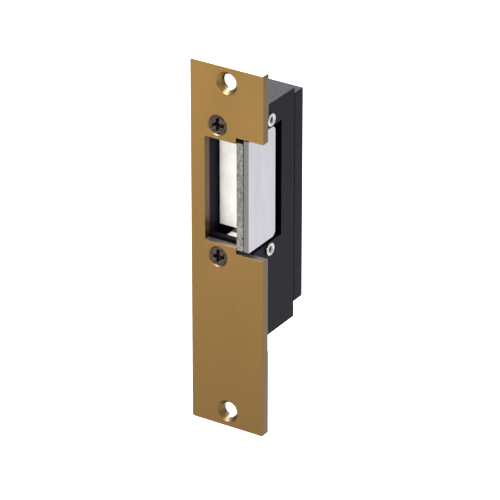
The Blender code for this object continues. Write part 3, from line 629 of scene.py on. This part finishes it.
def faceplate():
    """Plate with its latch opening, its side notch and four countersunk holes."""
    low, high = corners("faceplate")
    front = low.y - CUT_PAST
    plate = box_mesh(low, high)
    round_edges(plate, axis=1, radius=0.8, segments=6, keep=lambda middle: True)
    opening = box_mesh((OPENING_X[0], front, OPENING_Z[0]), (OPENING_X[1], CUT_PAST, OPENING_Z[1]))
    round_edges(opening, axis=1, radius=0.5, segments=4, keep=lambda middle: middle.x < 0)
    notch = box_mesh((NOTCH_LEFT, front, NOTCH_Z[0]), (high.x + CUT_PAST, CUT_PAST, NOTCH_Z[1]))
    seat = box_mesh((low.x - CUT_PAST, SEAT_FRONT, SEAT_Z[0]),
                    (high.x + CUT_PAST, CUT_PAST, SEAT_Z[1]))
    cutters = [seat, opening, notch]
    holes = [(0, z, MOUNT_HOLE_R, MOUNT_HEAD_R) for z in (MOUNT_HOLE_Z, -MOUNT_HOLE_Z)]
    holes += [(PLATE_SCREW_X, z, SCREW_HOLE_R, SCREW_SEAT_R) for z in PLATE_SCREW_Z.values()]
    over, under = 0.5, 0.2         # how far the 45-degree countersink runs on at its two ends
    for x, z, hole, head in holes:
        cutters.append(cone_mesh("Y", (x, z), (hole, hole), (front, CUT_PAST)))
        cutters.append(cone_mesh("Y", (x, z), (head + over, hole - under),
                                 (low.y - over, low.y + head - hole + under)))
    piece = stand_for(solid("faceplate_piece", plate, cutters), "faceplate")
    soften(piece, 0.34)


def plate_screws():
    """Countersunk screws beside the opening, with a cross recess and a grooved shank."""
    pitch = 0.7
    for node, z in PLATE_SCREW_Z.items():
        low, high = corners(node)
        face = low.y
        profile = [(0, face), (3.1, face + 0.02), (3.75, face + 0.12), (3.98, face + 0.34),
                   (3.95, face + 0.5), (2.1, face + 2.3), (2.0, face + 2.6)]
        turn = face + 2.6
        while turn < high.y - 1.2:
            profile += [(2.0, turn + 0.2), (1.72, turn + 0.45), (2.0, turn + pitch)]
            turn += pitch
        profile += [(1.6, high.y), (0, high.y)]
        piece = solid(node + "_piece", turned_mesh("Y", (PLATE_SCREW_X, z), profile),
                      cross_cutters(face, depth=1.7, reach=2.8, width=1.5, outward=-1,
                                    place=(PLATE_SCREW_X, 0, z)))
        soften(stand_for(piece, node), 0.06, 2)


def small_screws():
    """Cover screws with cheese heads, and countersunk solenoid screws in the body's side."""
    for node in ("upper_cover_screw", "lower_cover_screw"):
        low, high = corners(node)
        x, z = (low.x + high.x) / 2, (low.z + high.z) / 2
        profile = [(0, low.y), (1.1, low.y), (1.3, low.y + 0.3), (1.3, high.y - 1.8),
                   (2.6, high.y - 1.8), (2.8, high.y - 1.6), (2.8, high.y - 0.35),
                   (2.6, high.y - 0.1), (2.2, high.y), (0, high.y)]
        piece = solid(node + "_piece", turned_mesh("Y", (x, z), profile, 56),
                      cross_cutters(high.y, depth=1.1, reach=1.6, width=0.75, outward=1,
                                    place=(x, 0, z)))
        soften(stand_for(piece, node), 0.05, 2)
    for node in ("upper_solenoid_screw", "lower_solenoid_screw"):
        low, high = corners(node)
        y, z = (low.y + high.y) / 2, (low.z + high.z) / 2
        profile = [(0, low.x), (2.2, low.x), (2.55, low.x + 0.12), (2.58, low.x + 0.25),
                   (1.1, low.x + 1.65), (1.1, high.x - 0.2), (0.9, high.x), (0, high.x)]
        piece = solid(node + "_piece", turned_mesh("X", (y, z), profile, 56),
                      cross_cutters(0, depth=0.9, reach=1.5, width=0.62, outward=1,
                                    place=(low.x, y, z), quarter=math.pi / 2))
        soften(stand_for(piece, node), 0.05, 2)


def rivets():
    """Tubular rivets with a rolled lip round an open bore."""
    for node in ("upper_tubular_rivet", "lower_tubular_rivet"):
        low, high = corners(node)
        y, z = (low.y + high.y) / 2, (low.z + high.z) / 2
        out = high.x
        profile = [(0, low.x), (1.6, low.x), (1.6, out - 0.6), (2.45, out - 0.6),
                   (2.58, out - 0.48), (2.6, out - 0.32), (2.5, out - 0.14), (2.3, out - 0.03),
                   (2.0, out), (1.6, out - 0.03), (1.3, out - 0.16), (1.12, out - 0.4),
                   (1.05, out - 0.8), (1.05, low.x + 0.8), (0, low.x + 0.8)]
        piece = to_object(node + "_piece", turned_mesh("X", (y, z), profile))
        shade(stand_for(piece, node), RIVET_SHARP_ANGLE)


def winding():
    """Coil of enamelled wire: fine ridges along the outside."""
    low, high = corners("coil_winding")
    x, y = (low.x + high.x) / 2, (low.y + high.y) / 2
    outer = (high.x - low.x) / 2
    inner, valley, crest = 4.3, outer - 0.15, outer - 0.02
    turns, margin = 34, 0.05
    pitch = (high.z - low.z - 2 * margin) / turns
    profile = [(inner, low.z), (valley, low.z)]
    for turn in range(turns):
        base = low.z + margin + turn * pitch
        profile += [(valley, base), (crest, base + pitch * 0.3), (crest, base + pitch * 0.7)]
    profile += [(valley, high.z), (inner, high.z), (inner, low.z)]
    piece = to_object("coil_winding_piece", turned_mesh("Z", (x, y), profile))
    shade(stand_for(piece, "coil_winding"), WINDING_SHARP_ANGLE)


def wire_piece(name, points):
    """Spring wire through the points, as a mesh piece."""
    curve = bpy.data.curves.new(name, "CURVE")
    curve.dimensions = "3D"
    curve.bevel_depth = WIRE_R * MM
    curve.bevel_resolution = 4
    curve.use_fill_caps = True
    line = curve.splines.new("POLY")
    line.points.add(len(points) - 1)
    for spot, (x, y, z) in zip(line.points, points):
        spot.co = (x * MM, y * MM, z * MM, 1.0)
    source = bpy.data.objects.new(name + "_curve", curve)
    bpy.context.scene.collection.objects.link(source)
    mesh = evaluated_mesh(source)
    bpy.data.objects.remove(source, do_unlink=True)
    piece = bpy.data.objects.new(name, mesh)
    bpy.context.scene.collection.objects.link(piece)
    piece.data.shade_smooth()
    return piece


def helix(axis, radius, start_angle, turns, heights):
    """Points along a coil about a vertical axis; negative turns run clockwise."""
    steps = round(abs(turns) * COIL_STEPS)
    points = []
    for step in range(steps + 1):
        share = step / steps
        angle = start_angle + share * turns * 2 * math.pi
        points.append((axis[0] + radius * math.cos(angle), axis[1] + radius * math.sin(angle),
                       heights[0] + share * (heights[1] - heights[0])))
    return points


def plunger_spring():
    """Finer coil for the plunger's spring, built at one length."""
    low, high = corners("plunger_spring")
    coil_r = (high.x - low.x) / 2 - WIRE_R
    points = helix(COIL_AXIS, coil_r, 0, PLUNGER_COIL_TURNS, (low.z + WIRE_R, high.z - WIRE_R))
    piece = wire_piece("plunger_spring_piece", points)
    stand_for(piece, "plunger_spring")
    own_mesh(piece)


def keeper_spring():
    """Finer torsion spring with an upper leg and a lower leg, left still where it is built."""
    low, high = corners("keeper_spring")
    top, bottom = high.z - WIRE_R, low.z + WIRE_R
    axis_x, axis_y = KEEPER_AXIS
    rear, left = axis_y + KEEPER_COIL_R, axis_x - KEEPER_COIL_R
    points = [(low.x, rear, top), (axis_x - LEG_START, rear, top)]
    points += helix(KEEPER_AXIS, KEEPER_COIL_R, math.pi / 2, KEEPER_COIL_TURNS, (top, bottom))
    points += [(left, axis_y + LEG_START, bottom), (left, high.y, bottom)]
    piece = wire_piece("keeper_spring_piece", points)
    stand_for(piece, "keeper_spring", rides=False)
    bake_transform(piece)


# The other nodes keep their CAD mesh, and most get their edges rounded by this width.
EDGE_WIDTHS = {
    "housing": 0.45, "rear_cover": 0.45,
    "keeper": 0.22, "keeper_face_plate": 0.30, "keeper_wear_plate": 0.15,
    "upper_keeper_face_screw": 0.06, "lower_keeper_face_screw": 0.06,
    "upper_bearing_block": 0.30, "lower_bearing_block": 0.30, "keeper_pivot_pin": 0.20,
    "locking_lever": 0.22, "lever_pivot_pin": 0.20,
    "left_lever_spacer": 0.10, "right_lever_spacer": 0.10,
    "solenoid_frame": 0.20, "bobbin": 0.12, "fixed_core": 0.15, "plunger": 0.18,
    "terminal_block": 0.20, "left_terminal_plate": 0.10, "right_terminal_plate": 0.10,
    "left_terminal_screw": 0.10, "right_terminal_screw": 0.10,
}

make_camera()
make_stage()

for node, obj in nodes.items():
    paint(obj, NODE_SLOT[node])
    if node in EDGE_WIDTHS:
        soften(obj, EDGE_WIDTHS[node])

faceplate()
plate_screws()
small_screws()
rivets()
winding()
plunger_spring()
keeper_spring()
